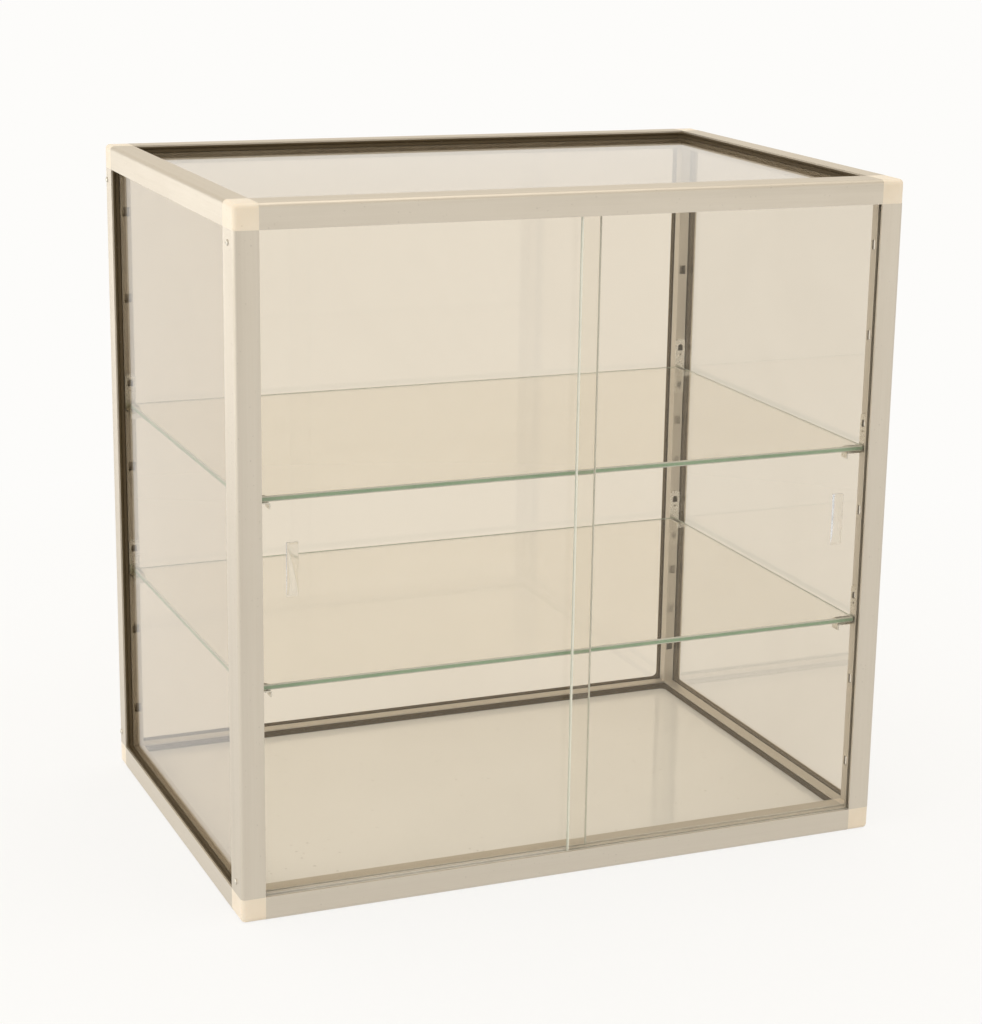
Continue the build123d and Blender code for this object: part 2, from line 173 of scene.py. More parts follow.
def buildHandlingGroup():
    # what handling leaves: sparse specks of dust and soft smears
    look = handling
    tree, gin, gout = newGroup("handlingMarks", {
        "Speck Scale": look["speckScale"], "Smear Scale": look["smearScale"]}, ["Specks", "Smears"])
    vector = gin.outputs["Vector"]
    distance, shares = cellNode(tree, vector, gin.outputs["Speck Scale"])
    size = mathNode(tree, "POWER", shares["Red"], look["speckPower"])
    specks = mathNode(tree, "LESS_THAN", distance, mathNode(tree, "MULTIPLY", size, look["speckSize"]))
    smear = noiseNode(tree, vector, gin.outputs["Smear Scale"], look["smearDetail"],
                      look["smearRoughness"], look["smearSwirl"])
    tree.links.new(specks, gout.inputs["Specks"])
    tree.links.new(rangeNode(tree, smear, *look["smearSpan"]), gout.inputs["Smears"])
    return tree


grainGroup = buildGrainGroup()
handlingGroup = buildHandlingGroup()


def placeMarks(tree, coords, look):
    # the handling marks at the finish's own scales, where it names any
    labels = {"speckScale": "Speck Scale", "smearScale": "Smear Scale"}
    scales = {label: look[key] for key, label in labels.items() if key in look}
    return placeGroup(tree, handlingGroup, coords, scales)


def cloudedColour(tree, coords, tones, scale, detail):
    cloud = noiseNode(tree, coords, scale, detail)
    return mixColour(tree, rangeNode(tree, cloud, *noiseSpan), *tones)


def speckled(tree, marks, colour, look):
    share = mathNode(tree, "MULTIPLY", marks.outputs["Specks"], look["speckShare"])
    return mixColour(tree, share, colour, look["speck"])


def smearedRoughness(tree, marks, clean, smeared):
    return rangeNode(tree, marks.outputs["Smears"], 0.0, 1.0, clean, smeared)


# materials: tones are the two colours that a finish moves between

aluminium = {
    "tones": ((0.590, 0.535, 0.450, 1), (0.630, 0.573, 0.485, 1)),
    "blotchSpan": (0.35, 0.65),
    "speck": (0.35, 0.31, 0.26, 1),
    "speckShare": 0.35,
    "metallic": 0.78,         # the matt oxide skin scatters the rest
    "roughness": 0.46,
    "lineRoughness": (-0.05, 0.07),
    "smearRoughness": 0.07,
    "stretch": 0.012,         # the grain is drawn out along the profile by this share
    "lineStrength": 0.35,
    "lineDepth": 0.00002,
}


def frameMetal(axis):
    # one finish for each direction that the profiles run in
    look = aluminium
    mat, tree, shader, _ = newMaterial("frameAluminium" + "XYZ"[axis])
    coords = objectCoords(tree)
    scale = [1.0, 1.0, 1.0]
    scale[axis] = look["stretch"]
    drawn = addNode(tree, "ShaderNodeMapping", None, {"Vector": coords, "Scale": scale})
    grain = placeGroup(tree, grainGroup, drawn.outputs["Vector"])
    marks = placeMarks(tree, coords, look)
    blotches = rangeNode(tree, grain.outputs["Blotches"], *look["blotchSpan"])
    colour = mixColour(tree, blotches, *look["tones"])
    tree.links.new(speckled(tree, marks, colour, look), shader.inputs["Base Color"])
    shader.inputs["Metallic"].default_value = look["metallic"]
    lines = rangeNode(tree, grain.outputs["Lines"], *noiseSpan, *look["lineRoughness"])
    smears = mathNode(tree, "MULTIPLY", marks.outputs["Smears"], look["smearRoughness"])
    rough = mathNode(tree, "ADD", mathNode(tree, "ADD", lines, look["roughness"]), smears)
    tree.links.new(rough, shader.inputs["Roughness"])
    addBump(tree, shader, grain.outputs["Lines"], look["lineStrength"], look["lineDepth"])
    return mat


cornerPlastic = {
    "tones": ((0.755, 0.65, 0.505, 1), (0.815, 0.715, 0.58, 1)),
    "cloudScale": 28.0,
    "cloudDetail": 4.0,
    "speck": (0.4, 0.33, 0.24, 1),
    "speckShare": 0.3,
    "roughness": (0.42, 0.50),
    "scatter": 0.12,
    "scatterReach": (0.004, 0.003, 0.002),
    "sparkScale": 2600.0,
    "sparkStrength": 0.25,
    "sparkDepth": 0.00004,
}


def plasticMaterial():
    # cream plastic with a fine spark-eroded grain
    look = cornerPlastic
    mat, tree, shader, _ = newMaterial("creamPlastic")
    coords = objectCoords(tree)
    marks = placeMarks(tree, coords, look)
    colour = cloudedColour(tree, coords, look["tones"], look["cloudScale"], look["cloudDetail"])
    tree.links.new(speckled(tree, marks, colour, look), shader.inputs["Base Color"])
    tree.links.new(smearedRoughness(tree, marks, *look["roughness"]), shader.inputs["Roughness"])
    shader.inputs["Subsurface Weight"].default_value = look["scatter"]
    shader.inputs["Subsurface Radius"].default_value = look["scatterReach"]
    shader.inputs["Subsurface Scale"].default_value = 1.0
    spark = noiseNode(tree, coords, look["sparkScale"])
    addBump(tree, shader, spark, look["sparkStrength"], look["sparkDepth"])
    return mat


rubber = {
    "tones": ((0.078, 0.054, 0.025, 1), (0.094, 0.067, 0.034, 1)),
    "bloomShare": 0.3,
    "speck": (0.30, 0.27, 0.22, 1),
    "speckShare": 0.4,
    "speckScale": 600.0,
    "smearScale": 70.0,
    "roughness": (0.60, 0.68),
    "specular": 0.22,
    "fineScale": 1500.0,
    "fineStrength": 0.15,
    "fineDepth": 0.00006,
}


def rubberMaterial():
    look = rubber
    mat, tree, shader, _ = newMaterial("gasketRubber")
    coords = objectCoords(tree)
    marks = placeMarks(tree, coords, look)
    bloom = mathNode(tree, "MULTIPLY", marks.outputs["Smears"], look["bloomShare"])
    colour = mixColour(tree, bloom, *look["tones"])
    tree.links.new(speckled(tree, marks, colour, look), shader.inputs["Base Color"])
    tree.links.new(smearedRoughness(tree, marks, *look["roughness"]), shader.inputs["Roughness"])
    shader.inputs["Specular IOR Level"].default_value = look["specular"]
    addBump(tree, shader, noiseNode(tree, coords, look["fineScale"]), look["fineStrength"], look["fineDepth"])
    return mat


# the second tone of a pane is where it is smeared
paneGlass = {
    "doorGlass": {
        "tones": ((0.960, 0.945, 0.912, 1), (0.935, 0.918, 0.885, 1)),
        "smearRoughness": 0.008,
        "smearScale": 3.5,
    },
    "sideGlass": {
        "tones": ((0.785, 0.722, 0.628, 1), (0.745, 0.682, 0.590, 1)),
        "smearRoughness": 0.02,
        "smearScale": 4.5,
    },
    "rearGlass": {
        "tones": ((0.830, 0.755, 0.645, 1), (0.795, 0.720, 0.610, 1)),
        "smearRoughness": 0.01,
        "smearScale": 3.0,
    },
    "shelfGlass": {
        "tones": ((0.985, 0.985, 0.970, 1), (0.955, 0.953, 0.935, 1)),
        "smearRoughness": 0.025,
        "smearScale": 6.0,
    },
}
glassFilm = {
    "speckScale": 260.0,
    "smearShare": 0.8,
    "speckShare": 0.5,
    "index": 1.5,
    # painted reflection: a warm tint laid on everything the panes mirror, standing in for a warm room
    "paintedReflectionTint": (1.0, 0.90, 0.74, 1),           # the panes mirror a warm room
    "shadow": (0.985, 0.98, 0.97, 1),        # lamps shine through with next to no loss
}


def glassMaterial(name):
    # clear sheet with a thin uneven film of handling on it
    look = {**glassFilm, **paneGlass[name]}
    mat, tree, shader, out = newMaterial(name)
    marks = placeMarks(tree, objectCoords(tree), look)
    smears = mathNode(tree, "MULTIPLY", marks.outputs["Smears"], look["smearShare"])
    specks = mathNode(tree, "MULTIPLY", marks.outputs["Specks"], look["speckShare"])
    film = mathNode(tree, "ADD", smears, specks, clamp=True)
    tree.links.new(mixColour(tree, film, *look["tones"]), shader.inputs["Base Color"])
    tree.links.new(smearedRoughness(tree, marks, 0.0, look["smearRoughness"]), shader.inputs["Roughness"])
    shader.inputs["Transmission Weight"].default_value = 1.0
    shader.inputs["IOR"].default_value = look["index"]
    # the painted warm tint of the panes' reflections
    shader.inputs["Specular Tint"].default_value = look["paintedReflectionTint"]
    through = addNode(tree, "ShaderNodeBsdfTransparent", None, {"Color": look["shadow"]})
    path = tree.nodes.new("ShaderNodeLightPath")
    mix = addNode(tree, "ShaderNodeMixShader", None, {
        "Fac": path.outputs["Is Shadow Ray"], 1: shader.outputs["BSDF"], 2: through.outputs["BSDF"]})
    tree.links.new(mix.outputs["Shader"], out.inputs["Surface"])
    return mat


# the green of a shelf's edge comes from the depth of the glass behind it
edgeTones = {
    "shelfEdge": ((0.34, 0.52, 0.33, 1), (0.27, 0.44, 0.27, 1)),
    "polishedArris": ((0.78, 0.77, 0.67, 1), (0.74, 0.74, 0.64, 1)),
    "doorEdge": ((0.66, 0.68, 0.58, 1), (0.58, 0.61, 0.51, 1)),
}
groundEdge = {
    "cloudScale": 24.0,
    "cloudDetail": 3.0,
    "lineScale": 1500.0,
    "roughness": (0.15, 0.32),
    "transmission": 0.15,
    "index": 1.5,
    "lineStrength": 0.2,
    "lineDepth": 0.00003,
}


def edgeMaterial(name):
    # edge of a sheet, with fine grinding lines
    look = groundEdge
    mat, tree, shader, _ = newMaterial(name)
    coords = objectCoords(tree)
    lines = noiseNode(tree, coords, look["lineScale"])
    colour = cloudedColour(tree, coords, edgeTones[name], look["cloudScale"], look["cloudDetail"])
    tree.links.new(colour, shader.inputs["Base Color"])
    tree.links.new(rangeNode(tree, lines, *noiseSpan, *look["roughness"]), shader.inputs["Roughness"])
    shader.inputs["Transmission Weight"].default_value = look["transmission"]
    shader.inputs["IOR"].default_value = look["index"]
    addBump(tree, shader, lines, look["lineStrength"], look["lineDepth"])
    return mat


laminate = {
    "tones": ((0.955, 0.925, 0.865, 1), (0.935, 0.905, 0.845, 1)),
    "cloudScale": 11.0,
    "cloudDetail": 5.0,
    "speck": (0.45, 0.40, 0.33, 1),
    "speckShare": 0.35,
    "speckScale": 200.0,
    "smearScale": 5.0,
    "roughness": (0.07, 0.15),
    "peelScale": 160.0,
    "peelStrength": 0.06,
    "peelDepth": 0.0003,
}


def laminateMaterial():
    # glossy sheet with a slight orange peel
    look = laminate
    mat, tree, shader, _ = newMaterial("baseLaminate")
    coords = objectCoords(tree)
    marks = placeMarks(tree, coords, look)
    colour = cloudedColour(tree, coords, look["tones"], look["cloudScale"], look["cloudDetail"])
    tree.links.new(speckled(tree, marks, colour, look), shader.inputs["Base Color"])
    tree.links.new(smearedRoughness(tree, marks, *look["roughness"]), shader.inputs["Roughness"])
    addBump(tree, shader, noiseNode(tree, coords, look["peelScale"]), look["peelStrength"], look["peelDepth"])
    return mat


# worn plastic is paler and smoother
runnerPlastic = {
    "tones": ((0.70, 0.66, 0.58, 1), (0.78, 0.74, 0.66, 1)),
    "smearScale": 25.0,
    "roughness": (0.50, 0.45),
}


def runnerMaterial():
    look = runnerPlastic
    mat, tree, shader, _ = newMaterial("runnerPlastic")
    marks = placeMarks(tree, objectCoords(tree), look)
    tree.links.new(mixColour(tree, marks.outputs["Smears"], *look["tones"]), shader.inputs["Base Color"])
    tree.links.new(smearedRoughness(tree, marks, *look["roughness"]), shader.inputs["Roughness"])
    return mat


platedSteel = {
    "tones": ((0.70, 0.665, 0.59, 1), (0.62, 0.585, 0.515, 1)),
    "grainScale": 900.0,
    "smoother": 0.05,
    "rougher": 0.10,
    "bracketRoughness": 0.28,
    "screwRoughness": 0.35,
}


def steelMaterial(name, roughness):
    # zinc plate: small crystals that differ a little in tone and in shine
    look = platedSteel
    mat, tree, shader, _ = newMaterial(name)
    _, shares = cellNode(tree, objectCoords(tree), look["grainScale"])
    tree.links.new(mixColour(tree, shares["Red"], *look["tones"]), shader.inputs["Base Color"])
    shader.inputs["Metallic"].default_value = 1.0
    rough = rangeNode(tree, shares["Green"], 0.0, 1.0,
                      roughness - look["smoother"], roughness + look["rougher"])
    tree.links.new(rough, shader.inputs["Roughness"])
    return mat


acrylic = {
    "tones": ((0.97, 0.965, 0.95, 1), (0.94, 0.93, 0.91, 1)),
    "speckScale": 900.0,
    "smearScale": 60.0,
    "roughness": (0.08, 0.14),
    "index": 1.15,
}


def acrylicMaterial():
    look = acrylic
    mat, tree, shader, _ = newMaterial("clearAcrylic")
    marks = placeMarks(tree, objectCoords(tree), look)
    tree.links.new(mixColour(tree, marks.outputs["Smears"], *look["tones"]), shader.inputs["Base Color"])
    tree.links.new(smearedRoughness(tree, marks, *look["roughness"]), shader.inputs["Roughness"])
    shader.inputs["Transmission Weight"].default_value = 1.0
    shader.inputs["IOR"].default_value = look["index"]
    return mat


metal = [frameMetal(axis) for axis in range(3)]
cream = plasticMaterial()
gasketRubber = rubberMaterial()
doorFinish, sideFinish, rearFinish, shelfFinish = (glassMaterial(name) for name in paneGlass)
shelfEdge, arrisFinish, doorEdge = (edgeMaterial(name) for name in edgeTones)
baseFinish = laminateMaterial()
runnerFinish = runnerMaterial()
bracketFinish = steelMaterial("platedBracket", platedSteel["bracketRoughness"])
screwFinish = steelMaterial("platedScrew", platedSteel["screwRoughness"])
pullFinish = acrylicMaterial()
print("materials made:", len(bpy.data.materials))


def finishFor(name):
    # the first word that the node's name holds decides; the rest are profiles
    finishes = (("bracket", bracketFinish), ("corner_screws", screwFinish), ("corner", cream),
                ("gasket", gasketRubber), ("runner", runnerFinish), ("pull", pullFinish),
                ("rear_glass", rearFinish), ("glass", sideFinish), ("base_panel", baseFinish))
    for word, finish in finishes:
        if word in name:
            return finish
    low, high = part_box(name)
    return metal[max(range(3), key=lambda axis: high[axis] - low[axis])]


for name, obj in nodes.items():
    finish = finishFor(name)
    if obj.material_slots:
        for holder in obj.material_slots:
            holder.material = finish
    else:
        obj.data.materials.append(finish)
print("finishes placed on the frame's nodes")


# new pieces: all sizes in metres, in the case's own frame

mm = 0.001


def boxOf(node):
    low, high = (np.array(corner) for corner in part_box(node))
    return low, high, high - low


def roundedPath(halfU, halfV, radius, steps):
    # corners in turn: each is its centre plus the radius times cos and sin; the straights lie between them
    turns = np.radians(np.arange(4)[:, None] * 90 + np.linspace(0, 90, steps)[None, :])
    normals = np.stack([np.cos(turns), np.sin(turns)], -1)
    signs = np.array([[1, 1], [-1, 1], [-1, -1], [1, -1]])
    centres = signs * np.array([halfU - radius, halfV - radius])
    return (centres[:, None] + radius * normals).reshape(-1, 2), normals.reshape(-1, 2)


def carried(path, normals, section):
    # every path point gets the section: inwards by its first number along the normal, up by its second
    flat = path[:, None, :] - section[None, :, 0, None] * normals[:, None, :]
    high = np.broadcast_to(section[None, :, 1, None], flat.shape[:2] + (1,))
    return np.concatenate([flat, high], -1)


def gridFaces(rows, columns, closeRows, closeColumns):
    # quads of a grid of rows and columns of points, numbered row by row
    i = np.arange(rows if closeRows else rows - 1)[:, None]
    j = np.arange(columns if closeColumns else columns - 1)[None, :]
    a = i * columns + j
    b = i * columns + (j + 1) % columns
    c = ((i + 1) % rows) * columns + (j + 1) % columns
    d = ((i + 1) % rows) * columns + j
    return np.stack([a, b, c, d], -1).reshape(-1, 4).tolist()


def placed(points, origin, along, up, out):
    # the piece's own three axes laid along three directions of the case
    axes = np.array([along, up, out], float)
    return np.array(origin, float) + points.reshape(-1, 3) @ axes


def makePiece(name, verts, faces, finishes, body, stands, shading=None, smooth=True):
    mesh = bpy.data.meshes.new(name)
    mesh.from_pydata(verts.tolist(), [], faces)
    for finish in finishes:
        mesh.materials.append(finish)
    if shading is not None:
        mesh.polygons.foreach_set("material_index", np.array(shading, dtype=np.int32))
    mesh.polygons.foreach_set("use_smooth", np.full(len(mesh.polygons), smooth))
    mesh.validate()
    bm = bmesh.new()
    bm.from_mesh(mesh)
    bmesh.ops.recalc_face_normals(bm, faces=bm.faces)
    bm.to_mesh(mesh)
    bm.free()
    obj = bpy.data.objects.new(name, mesh)
    bpy.context.scene.collection.objects.link(obj)
    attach(obj, body)
    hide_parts(*stands)


# sheets of glass with ground edges

sheetEdge = {"arris": 1.1 * mm, "cornerRadius": 2.0 * mm, "cornerSteps": 5, "arrisSteps": 4}


def buildSheet(name, node, thin, finishes, body):
    # a flat sheet in the node's box: the edge section is a straight with a quarter round at each end
    low, high, size = boxOf(node)
    wide = [axis for axis in range(3) if axis != thin]
    a, steps = sheetEdge["arris"], sheetEdge["arrisSteps"]
    turn = np.linspace(0, math.pi / 2, steps)
    lower = np.stack([a - a * np.sin(turn), a - a * np.cos(turn)], -1)
    upper = np.stack([a - a * np.cos(turn), size[thin] - a + a * np.sin(turn)], -1)
    path, normals = roundedPath(size[wide[0]] / 2, size[wide[1]] / 2,
                                sheetEdge["cornerRadius"], sheetEdge["cornerSteps"])
    grid = carried(path, normals, np.concatenate([lower, upper]))
    rows, columns = grid.shape[:2]
    under = np.arange(rows) * columns
    over = under + columns - 1
    directions = np.eye(3)
    origin = (low + high) / 2
    origin[thin] = low[thin]
    verts = placed(grid, origin, directions[wide[0]], directions[wide[1]], directions[thin])
    faces = gridFaces(rows, columns, True, False) + [under[::-1].tolist(), over.tolist()]
    # finish 0 for the two large faces, 1 for the ground band of the edge, 2 for the arrises beside it
    shading = ([2] * (steps - 1) + [1] + [2] * (steps - 1)) * rows + [0, 0]
    makePiece(name, verts, faces, finishes, body, [node], shading, False)


shelfFinishes = [shelfFinish, shelfEdge, arrisFinish]
doorFinishes = [doorFinish, doorEdge, arrisFinish]
buildSheet("upper_shelf", "upper_shelf_glass", 2, shelfFinishes, "case")
buildSheet("lower_shelf", "lower_shelf_glass", 2, shelfFinishes, "case")
buildSheet("left_door", "left_door_glass", 1, doorFinishes, "left_door")
buildSheet("right_door", "right_door_glass", 1, doorFinishes, "right_door")
print("shelves and doors made")


# rubber gaskets: one section carried round each opening

gasketShape = {
    "cover": 7.0 * mm,          # the node's box reaches this far past the opening
    "cornerRadius": 6.4 * mm,
    "cornerSteps": 10,
    "grip": 6.4 * mm,           # how far it reaches into the groove
    "paneGap": 0.04 * mm,
    "lipGap": 0.05 * mm,
    "flapRoot": 0.72 * mm,      # thin flap that leans on the pane
    "flap": 0.8 * mm,
    "flapHeight": 0.16 * mm,
    "slope": ((0.55 * mm, 0.85 * mm), (0.35 * mm, 1.5 * mm), (0.25 * mm, 2.2 * mm)),
    "bead": 1.1 * mm,           # half the height of the rounded bead against the lip of the profile
    "beadFill": 0.95,
    "beadStart": 0.1 * mm,
    "beadReach": 0.7 * mm,
    "beadSteps": 9,
}


def gasketSection(thickness):
    # points inwards and up: from the groove along the pane to the flap, up the slope, round the bead, back
    g = gasketShape
    turn = np.linspace(-0.5, 0.5, g["beadSteps"]) * math.pi
    bead = np.stack([g["beadStart"] + g["beadReach"] * np.cos(turn),
                     thickness - g["bead"] + g["bead"] * g["beadFill"] * np.sin(turn)], -1)
    flap = [(-g["grip"], g["paneGap"]), (g["flapRoot"], g["paneGap"]), (g["flap"], g["flapHeight"])]
    back = [(-g["grip"], thickness - g["lipGap"])]
    return np.concatenate([flap, g["slope"], bead, back])


def buildGasket(name, node, out):
    # out is the direction from the pane towards the lip of the profile
    low, high, size = boxOf(node)
    thin = int(np.argmax(np.abs(out)))
    wide = [axis for axis in range(3) if axis != thin]
    opening = [size[axis] / 2 - gasketShape["cover"] for axis in wide]
    path, normals = roundedPath(*opening, gasketShape["cornerRadius"], gasketShape["cornerSteps"])
    grid = carried(path, normals, gasketSection(size[thin]))
    rows, columns = grid.shape[:2]
    origin = (low + high) / 2
    origin[thin] = low[thin] if out[thin] > 0 else high[thin]
    directions = np.eye(3)
    verts = placed(grid, origin, directions[wide[0]], directions[wide[1]], out)
    makePiece(name, verts, gridFaces(rows, columns, True, True), [gasketRubber], "case",
              [node])


gasketSides = {"left": (-1, 0, 0), "right": (1, 0, 0), "rear": (0, 1, 0), "top": (0, 0, 1), "base": (0, 0, 1)}
for side, out in gasketSides.items():
    buildGasket(side + "_gasket_ring", side + "_gasket", out)
print("gaskets made")


# corner screws: pan heads with a cross recess

screwShape = {
    "headRadius": 2.6 * mm,
    "headHeight": 1.3 * mm,
    "domePower": 4.0,           # the higher, the flatter the dome
    "shankRadius": 1.25 * mm,
    "shankLength": 6.0 * mm,
    "armLength": 1.5 * mm,
    "armWidth": 0.42 * mm,
    "sideStep": 0.06 * mm,      # over these the recess's walls slope
    "endStep": 0.08 * mm,
    "recessDepth": 0.9 * mm,
    "rings": 26,
    "turns": 64,
}
screwPlaces = {
    "side": 0.300,
    "depths": (-0.189, 0.19875),
    "heights": (0.032, 0.568),
    "firstTurn": 20,            # degrees: no two recesses stand alike
    "nextTurn": 37,
}


def softStep(distance, limit, width):
    # 1 inside the limit and 0 outside it, by an exponential curve of the given width
    return 1 / (1 + np.exp((np.abs(distance) - limit) / width))


def screwSurface():
    # a polar grid: the height is a flattened dome less a cross, each arm a soft step in width and length
    k = screwShape
    share = np.linspace(0.0, 1.0, k["rings"])[1:, None]
    turn = np.linspace(0, 2 * math.pi, k["turns"], endpoint=False)[None]
    u, v = k["headRadius"] * share * np.cos(turn), k["headRadius"] * share * np.sin(turn)
    dome = k["headHeight"] * np.sqrt(1 - share ** k["domePower"])
    armU = softStep(v, k["armWidth"], k["sideStep"]) * softStep(u, k["armLength"], k["endStep"])
    armV = softStep(u, k["armWidth"], k["sideStep"]) * softStep(v, k["armLength"], k["endStep"])
    head = np.stack([u, v, dome - k["recessDepth"] * np.maximum(armU, armV)], -1)
    heights = np.array([[0.0], [-k["shankLength"]]]) * np.ones_like(turn)
    around = np.ones_like(heights) * k["shankRadius"]
    shank = np.stack([around * np.cos(turn), around * np.sin(turn), heights], -1)
    grid = np.concatenate([head, shank])
    rows, columns = grid.shape[:2]
    tip, end = rows * columns, rows * columns + 1
    last = (rows - 1) * columns
    verts = np.concatenate([grid.reshape(-1, 3), [[0, 0, k["headHeight"] - k["recessDepth"]],
                                                  [0, 0, -k["shankLength"]]]])
    faces = gridFaces(rows, columns, False, True)
    faces += [[tip, j, (j + 1) % columns] for j in range(columns)]
    faces += [[end, last + (j + 1) % columns, last + j] for j in range(columns)]
    return verts, faces


def buildScrews():
    verts, faces = screwSurface()
    k = screwPlaces
    spots = [(side, y, z) for side in (-1, 1) for y in k["depths"] for z in k["heights"]]
    allVerts, allFaces = [], []
    for number, (side, y, z) in enumerate(spots):
        spin = math.radians(k["firstTurn"] + k["nextTurn"] * number)
        along = (0, math.cos(spin), math.sin(spin))
        up = (0, -side * math.sin(spin), side * math.cos(spin))
        allFaces += [[index + len(verts) * number for index in face] for face in faces]
        allVerts.append(placed(verts, (side * k["side"], y, z), along, up, (side, 0, 0)))
    makePiece("corner_screw_heads", np.concatenate(allVerts), allFaces, [screwFinish], "case",
              ["corner_screws"])


buildScrews()
print("screws made")


# clear finger pulls: a moulded strip with a shallow dish

pullShape = {
    "padGap": 0.06 * mm,        # the film of glue between the pull and the door
    "rim": 0.5 * mm,
    "edgeShare": 0.45,          # height of the outermost edge as a share of the thickness
    "dish": 0.22 * mm,
    "dishSlope": 2.2 * mm,
    "rows": 41,
    "columns": 61,
}


def buildPull(name, node, body):
    # the front height is the edge's share of the thickness, plus the rest times a quarter round over the
    # rim, less the dish times a smooth step over its slope; the back is flat
    k = pullShape
    low, high, size = boxOf(node)
    thick = size[1] - k["padGap"]
    u, v = np.meshgrid(np.linspace(-1, 1, k["rows"]), np.linspace(-1, 1, k["columns"]), indexing="ij")
    x, z = u * size[0] / 2, v * size[2] / 2
    edge = np.minimum(size[0] / 2 - np.abs(x), size[2] / 2 - np.abs(z))
    rounded = np.sqrt(np.clip(1 - (1 - np.clip(edge / k["rim"], 0, 1)) ** 2, 0, 1))
    inside = np.clip((edge - k["rim"]) / k["dishSlope"], 0, 1)
    dish = k["dish"] * inside ** 2 * (3 - 2 * inside)
    height = thick * (k["edgeShare"] + (1 - k["edgeShare"]) * rounded) - dish
    front = np.stack([x, z, height], -1).reshape(-1, 3)
    rows, columns = u.shape
    rim = np.concatenate([np.arange(columns), np.arange(1, rows) * columns + columns - 1,
                          (rows - 1) * columns + np.arange(columns - 2, -1, -1),
                          np.arange(rows - 2, 0, -1) * columns]).tolist()
    base = front[rim] * (1, 1, 0)
    start, count = rows * columns, len(rim)
    around = [[rim[i], rim[(i + 1) % count], start + (i + 1) % count, start + i] for i in range(count)]
    faces = gridFaces(rows, columns, False, False) + around + [list(range(start, start + count))]
    origin = ((low[0] + high[0]) / 2, high[1] - k["padGap"], (low[2] + high[2]) / 2)
    verts = placed(np.concatenate([front, base]), origin, (1, 0, 0), (0, 0, 1), (0, -1, 0))
    makePiece(name, verts, faces, [pullFinish], body, [node])


buildPull("left_finger_pull", "left_door_pull", "left_door")
buildPull("right_finger_pull", "right_door_pull", "right_door")
print("pulls made")


# surroundings: floor, soft light and camera

room = {
    "background": (0.982, 0.974, 0.956, 1),
    "upperBackdrop": (0.885, 0.82, 0.715, 1),      # warm wall and ceiling above the horizon
    "backdropSpan": (0.03, 0.24),                  # the steepness of a ray over which they change
    "skyLight": (0.88, 0.855, 0.81, 1),
}
floorLook = {
    "tones": ((0.86, 0.85, 0.83, 1), (0.87, 0.862, 0.845, 1)),
    "cloudScale": 3.0,
    "roughness": 0.9,
    "specular": 0.1,
    "rings": (0.6, 1.5, 4.0, 14.0),
    "spokes": 64,
    "shadowShare": 0.2,      # how much of the floor near the case takes light and shadow
    "shadowSpan": (0.5, 1.3),
}


def seenDirectly(tree):
    # rays that show the surroundings as they are: from the camera, off a mirror or through glass
    path = tree.nodes.new("ShaderNodeLightPath")
    passed = mathNode(tree, "MAXIMUM", path.outputs["Is Glossy Ray"], path.outputs["Is Transmission Ray"])
    return mathNode(tree, "MAXIMUM", path.outputs["Is Camera Ray"], passed)


def buildFloor():
    # a level disc: radius times cos and sin of the turn, rings growing outwards
    look = floorLook
    spokes = look["spokes"]
    turns = np.linspace(0, 2 * math.pi, spokes, endpoint=False)
    ring = np.stack([np.cos(turns), np.sin(turns), np.zeros(spokes)], 1)
    discs = np.array(look["rings"])[:, None, None] * ring[None]
    verts = np.concatenate([[[0, 0, 0]], discs.reshape(-1, 3)])
    faces = [(0, 1 + i, 1 + (i + 1) % spokes) for i in range(spokes)]
    for number in range(len(look["rings"]) - 1):
        a, b = 1 + spokes * number, 1 + spokes * (number + 1)
        faces += [(a + i, b + i, b + (i + 1) % spokes, a + (i + 1) % spokes) for i in range(spokes)]
    mesh = bpy.data.meshes.new("floor")
    mesh.from_pydata(verts.tolist(), [], faces)
    floor = bpy.data.objects.new("floor", mesh)
    bpy.context.scene.collection.objects.link(floor)
    mesh.materials.append(floorMaterial())


def floorMaterial():
    look = floorLook
    mat, tree, shader, out = newMaterial("paleFloor")
    coords = objectCoords(tree)
    cloud = noiseNode(tree, coords, look["cloudScale"])
    tree.links.new(mixColour(tree, cloud, *look["tones"]), shader.inputs["Base Color"])
    shader.inputs["Roughness"].default_value = look["roughness"]
    shader.inputs["Specular IOR Level"].default_value = look["specular"]
    # seen directly, the floor runs into the pale background away from the case
    away = addNode(tree, "ShaderNodeVectorMath", {"operation": "LENGTH"}, {0: coords})
    plain = rangeNode(tree, away.outputs["Value"], *look["shadowSpan"], 1 - look["shadowShare"], 1.0)
    seen = mathNode(tree, "MULTIPLY", plain, seenDirectly(tree))
    glow = addNode(tree, "ShaderNodeEmission", None, {"Color": room["background"], "Strength": 1.0})
    mix = addNode(tree, "ShaderNodeMixShader", None, {
        "Fac": seen, 1: shader.outputs["BSDF"], 2: glow.outputs["Emission"]})
    tree.links.new(mix.outputs["Shader"], out.inputs["Surface"])
    return mat


def buildWorld():
    world = bpy.data.worlds.new("studio")
    bpy.context.scene.world = world
    world.use_nodes = True
    tree = world.node_tree
    tree.nodes.clear()
    out = tree.nodes.new("ShaderNodeOutputWorld")
    coords = tree.nodes.new("ShaderNodeTexCoord")
    heading = addNode(tree, "ShaderNodeSeparateXYZ", None, {"Vector": coords.outputs["Generated"]})
    height = rangeNode(tree, heading.outputs["Z"], *room["backdropSpan"])
    wall = mixColour(tree, height, room["background"], room["upperBackdrop"])
    lit = addNode(tree, "ShaderNodeBackground", None, {"Color": room["skyLight"], "Strength": 1.0})
    seen = addNode(tree, "ShaderNodeBackground", None, {"Color": wall, "Strength": 1.0})
    mix = addNode(tree, "ShaderNodeMixShader", None, {
        "Fac": seenDirectly(tree), 1: lit.outputs["Background"], 2: seen.outputs["Background"]})
    tree.links.new(mix.outputs["Shader"], out.inputs["Surface"])


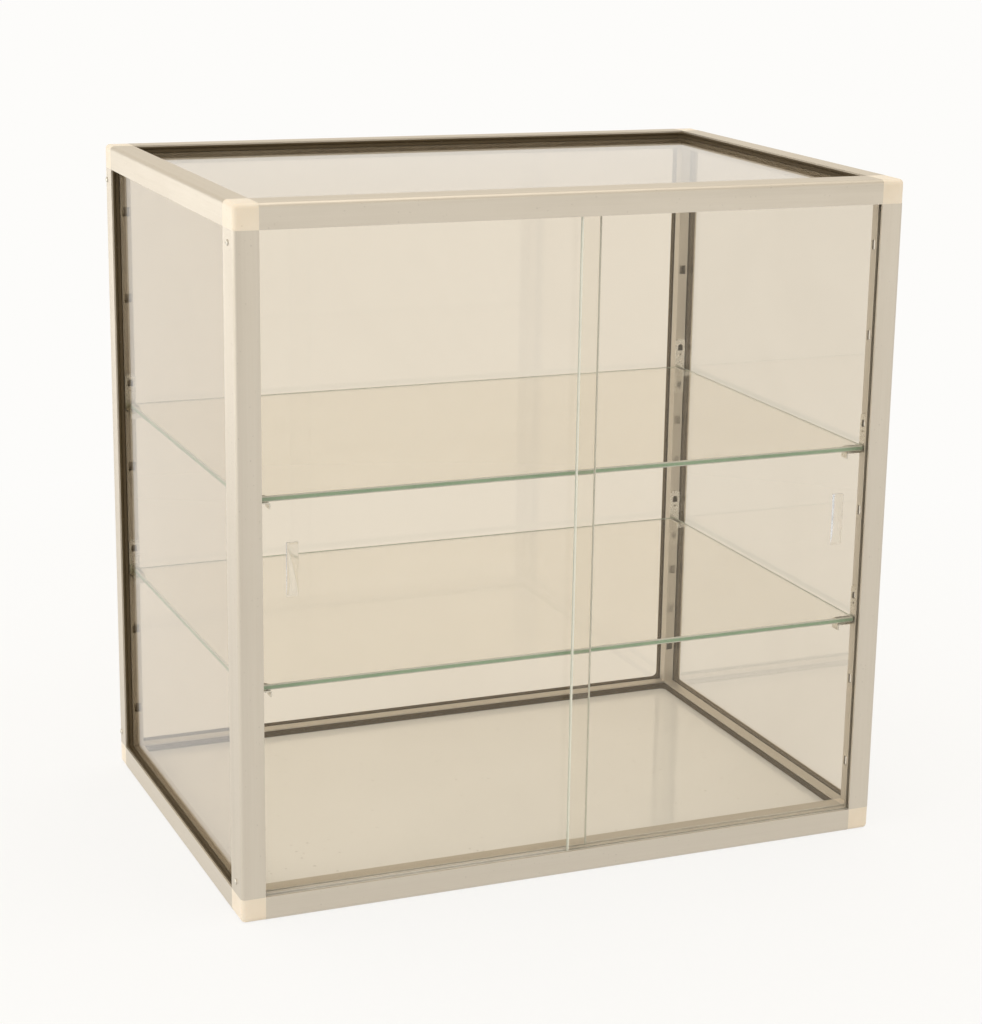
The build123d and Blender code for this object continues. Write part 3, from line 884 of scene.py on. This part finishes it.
# soft boxes: places, targets and sizes in metres, power in watts
lamps = {
    "keyLeft": {
        "place": (-1.75, 1.60, 0.30), "target": (-0.3, 0, 0.22), "size": (1.3, 0.6),
        "power": 6.2, "colour": (1.0, 0.985, 0.955)},
    "sideLeft": {
        "place": (-2.5, -0.3, 0.7), "target": (-0.3, 0, 0.25), "size": (2.0, 1.2),
        "power": 13.5, "colour": (1.0, 1.0, 0.985)},
    "overhead": {
        "place": (0.1, -0.2, 2.6), "target": (0, 0, 0.3), "size": (2.4, 2.4),
        "power": 19.0, "colour": (1.0, 0.98, 0.95)},
    "fillFront": {
        "place": (1.2, -2.8, 0.75), "target": (0, 0, 0.2), "size": (1.8, 0.6),
        "power": 3.0, "colour": (1.0, 0.97, 0.92)},
}


def buildLamp(name, box):
    lamp = bpy.data.lights.new(name, "AREA")
    lamp.shape = "RECTANGLE"
    lamp.size, lamp.size_y = box["size"]
    lamp.energy, lamp.color = box["power"], box["colour"]
    obj = bpy.data.objects.new(name, lamp)
    obj.location = box["place"]
    obj.rotation_euler = (Vector(box["target"]) - Vector(box["place"])).to_track_quat("-Z", "Y").to_euler()
    # a lamp lights the case but isn't itself seen, also not through the glass
    obj.visible_camera = False
    obj.visible_transmission = False
    bpy.context.scene.collection.objects.link(obj)


# the camera stands to the left of the front, above the top of the case; lengths in metres, turns in degrees
camera = {
    "place": (-0.8380, -2.0400, 0.8674),
    "heading": 23.828,
    "tiltDown": 15.229,
    "roll": 1.233,
    "lens": 86.95,
    "shift": (-0.0579, 0.0113),
}


def buildCamera():
    yaw, pitch, roll = (math.radians(camera[key]) for key in ("heading", "tiltDown", "roll"))
    ahead = Vector((math.sin(yaw) * math.cos(pitch), math.cos(yaw) * math.cos(pitch), -math.sin(pitch)))
    right = ahead.cross(Vector((0, 0, 1))).normalized()
    up = right.cross(ahead)
    turnedRight = math.cos(roll) * right + math.sin(roll) * up
    turnedUp = math.cos(roll) * up - math.sin(roll) * right
    data = bpy.data.cameras.new("camera")
    data.lens = camera["lens"]
    data.shift_x, data.shift_y = camera["shift"]
    obj = bpy.data.objects.new("camera", data)
    basis = Matrix((turnedRight, turnedUp, -ahead)).transposed().to_4x4()
    basis.translation = Vector(camera["place"])
    obj.matrix_world = basis
    bpy.context.scene.collection.objects.link(obj)
    bpy.context.scene.camera = obj


buildFloor()
buildWorld()
for name, box in lamps.items():
    buildLamp(name, box)
buildCamera()
bpy.context.scene.view_settings.view_transform = "Standard"
print("surroundings and camera ready")
